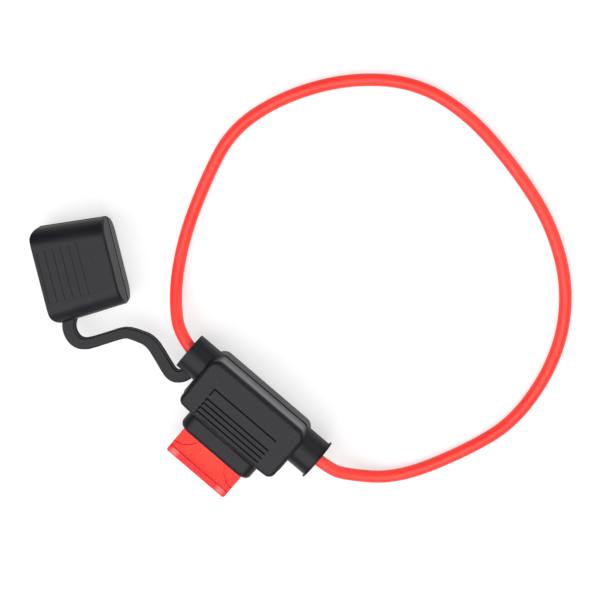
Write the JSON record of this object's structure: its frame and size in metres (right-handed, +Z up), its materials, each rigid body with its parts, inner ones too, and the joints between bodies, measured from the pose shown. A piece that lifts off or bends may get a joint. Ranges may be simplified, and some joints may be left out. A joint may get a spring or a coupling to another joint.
{
  "type": "in-line blade fuse holder",
  "caption": "In-line holder for a plug-in blade fuse: moulded black housing with a tethered open cap, a red fuse and an uncut loop of red insulated wire.",
  "frame": {"origin": "on the housing's flat underside, below the middle of the wire's axis through the two glands", "axes": "+X along the housing from the gland with the strap to the other gland, +Y away from the fuse towards the wire loop, +Z up out of the flat face; the fuse pulls out along -Y"},
  "size_m": [0.1246, 0.1146, 0.014],
  "materials": {
    "black_moulding": "satin",
    "red_clear_plastic": "clear tinted",
    "plated_metal": "plated",
    "spring_brass": "bright",
    "copper": "bare strands",
    "red_insulation": "satin"
  },
  "bodies": {
    "holder": {"housing": "black_moulding", "contact_left": "spring_brass", "contact_right": "spring_brass", "strands_left": "copper", "strands_right": "copper", "wire": "red_insulation"},
    "fuse": {"fuse_body": "red_clear_plastic", "fuse_blades": "plated_metal"},
    "cap": {"cap": "black_moulding", "cap_strap": "black_moulding"}
  },
  "joints": [
    {"name": "cap_swing", "type": "hinge", "parent": "holder", "child": "cap", "pos_m": [-0.0184, -0.00675, 0.006], "axis": [0, 0, 1], "range_deg": [-15, 60]},
    {"name": "fuse_pull", "type": "slide", "parent": "holder", "child": "fuse", "axis": [0, -1, 0], "range_m": [0, 0.0135]}
  ]
}
